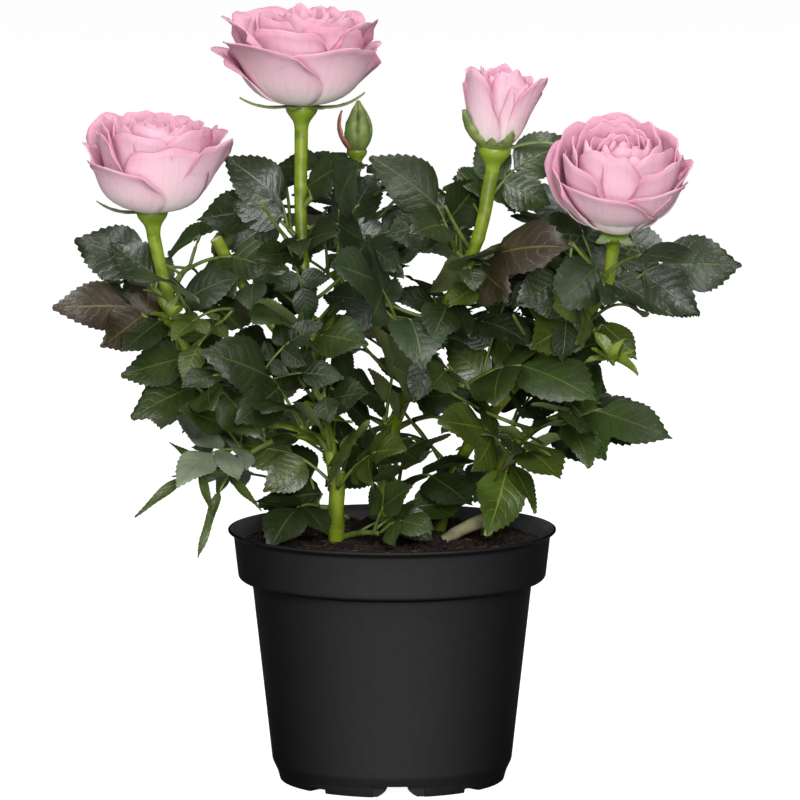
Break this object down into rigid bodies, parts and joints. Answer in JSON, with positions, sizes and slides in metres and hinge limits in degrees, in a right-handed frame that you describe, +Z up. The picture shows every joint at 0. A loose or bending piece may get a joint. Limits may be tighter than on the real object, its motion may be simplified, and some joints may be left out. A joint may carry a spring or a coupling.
{
  "type": "potted miniature rose bush",
  "caption": "Patio rose bush with full pink blooms, a half-open bloom, a green bud and glossy compound leaves on arching green canes, in a tapered black nursery pot.",
  "frame": {"origin": "on the pot's axis, on the plane of the flat underside that the pot stands on", "axes": "+Z up along the pot's axis, -Y towards the viewer of the picture, +X to the viewer's right"},
  "size_m": [0.25, 0.1509, 0.2838],
  "materials": {
    "pot": "satin black moulded polypropylene",
    "soil": "moist dark peat crumbs",
    "old_wood": "dry beige dead wood",
    "bark": "smooth green rose bark",
    "calyx": "matt green sepal",
    "petals": "soft pink petal with paler base",
    "leaves": "glossy dark green leaf",
    "bronze_leaves": "glossy bronze young leaf",
    "young_leaves": "soft yellow-green leaf"
  },
  "bodies": {
    "root": {"pot": "pot", "soil": "soil", "stump": "old_wood", "cane_front": "bark", "cane_middle": "bark", "cane_inner": "bark", "cane_right": "bark", "bough_left": "bark", "bough_bud": "bark", "calyx_top": "calyx", "bloom_top": "petals", "calyx_left": "calyx", "bloom_left": "petals", "calyx_right": "calyx", "bloom_right": "petals", "calyx_half_open": "calyx", "bloom_half_open": "petals", "calyx_bud": "calyx", "bloom_bud": "calyx", "leaves_far_right": "leaves", "leaves_left_top": "leaves", "leaves_left_bronze": "bronze_leaves", "leaves_left_middle": "leaves", "leaves_left_low": "leaves", "leaves_left_droop": "leaves", "leaves_left_heart": "leaves", "leaves_left_inner": "leaves", "leaves_left_fan": "leaves", "leaves_left_narrow": "leaves", "leaves_upper_left": "leaves", "leaves_upper_middle": "leaves", "leaves_upper_glossy": "leaves", "leaves_upper_right": "leaves", "leaves_behind_half_open": "leaves", "leaves_right_behind": "leaves", "leaves_centre_high": "leaves", "leaves_centre": "leaves", "leaves_right_veined": "leaves", "leaves_right_young": "young_leaves", "leaves_lower_centre": "leaves", "leaves_right_bottom": "leaves", "leaves_low_right": "young_leaves", "leaves_low_dark": "leaves", "leaves_inner_dark": "leaves", "leaves_inner_yellow": "young_leaves", "leaves_low_bright": "young_leaves", "leaves_low_left_dark": "leaves", "leaves_soil_runner": "leaves", "leaves_back_1": "leaves", "leaves_back_2": "leaves", "leaves_back_3": "leaves", "leaves_back_4": "leaves", "leaves_back_5": "leaves", "leaves_back_6": "leaves", "leaves_back_7": "leaves", "leaves_back_8": "leaves", "leaves_back_9": "leaves", "leaves_back_10": "leaves"}
  },
  "joints": []
}
